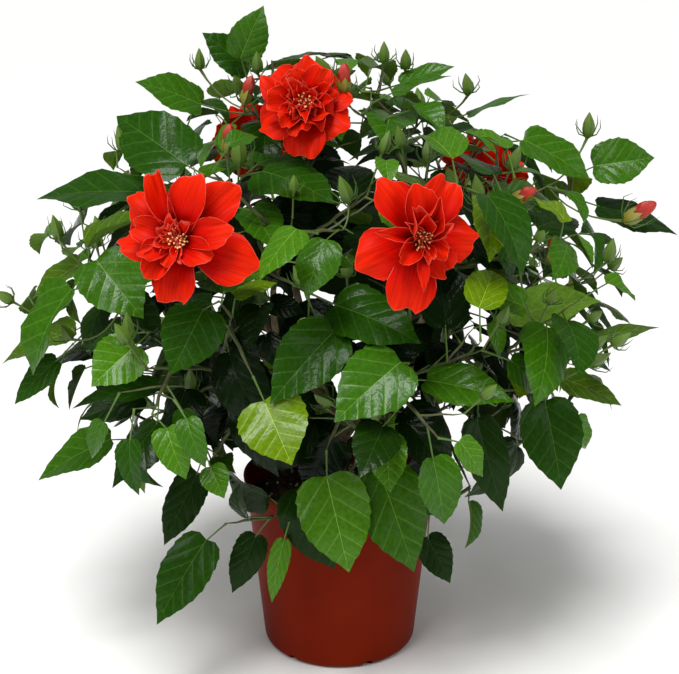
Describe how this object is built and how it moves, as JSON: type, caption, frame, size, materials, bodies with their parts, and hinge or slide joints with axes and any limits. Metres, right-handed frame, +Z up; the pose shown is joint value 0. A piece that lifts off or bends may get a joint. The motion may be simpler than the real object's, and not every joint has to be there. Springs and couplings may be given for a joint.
{
  "type": "potted hibiscus shrub",
  "caption": "Bushy flowering shrub with glossy toothed leaves and large ruffled red double blooms, growing from one short stem in a round tapered nursery pot.",
  "frame": {"origin": "middle of the pot's flat underside, at ground level", "axes": "+Z up along the pot's axis, -Y to the front of the plant, +X to its right"},
  "size_m": [0.807, 0.708, 0.807],
  "materials": {
    "pot_plastic": "brick-red satin plastic",
    "potting_mix": "dark damp bark and peat mix, matt",
    "bark": "thin grey-brown bark, matt",
    "petals": "soft petals, matt with a slight sheen",
    "foliage": "glossy dark to mid green leaves"
  },
  "bodies": {
    "root": {"pot": "pot_plastic", "potting_mix": "potting_mix", "stem": "bark", "limb_1": "bark", "limb_2": "bark", "limb_3": "bark", "limb_4": "bark", "bough_low_1": "bark", "bough_low_2": "bark", "bough_low_3": "bark", "bough_low_4": "bark", "bough_low_5": "bark", "bough_middle_1": "bark", "bough_middle_2": "bark", "bough_middle_3": "bark", "bough_middle_4": "bark", "bough_middle_5": "bark", "bough_middle_6": "bark", "bough_middle_7": "bark", "bough_upper_1": "bark", "bough_upper_3": "bark", "bough_upper_4": "bark", "bloom_left": "petals", "bloom_right": "petals", "bloom_top": "petals", "bloom_rear_left": "petals", "bloom_rear_right": "petals", "leaves_low_1": "foliage", "leaves_low_2": "foliage", "leaves_low_3": "foliage", "leaves_low_4": "foliage", "leaves_low_5": "foliage", "leaves_middle_1": "foliage", "leaves_middle_2": "foliage", "leaves_middle_3": "foliage", "leaves_middle_4": "foliage", "leaves_middle_5": "foliage", "leaves_middle_6": "foliage", "leaves_middle_7": "foliage", "leaves_upper_1": "foliage", "leaves_upper_2": "foliage", "leaves_upper_3": "foliage", "leaves_upper_4": "foliage", "leaves_upper_5": "foliage", "leaves_top_1": "foliage", "leaves_top_2": "foliage"}
  },
  "joints": []
}
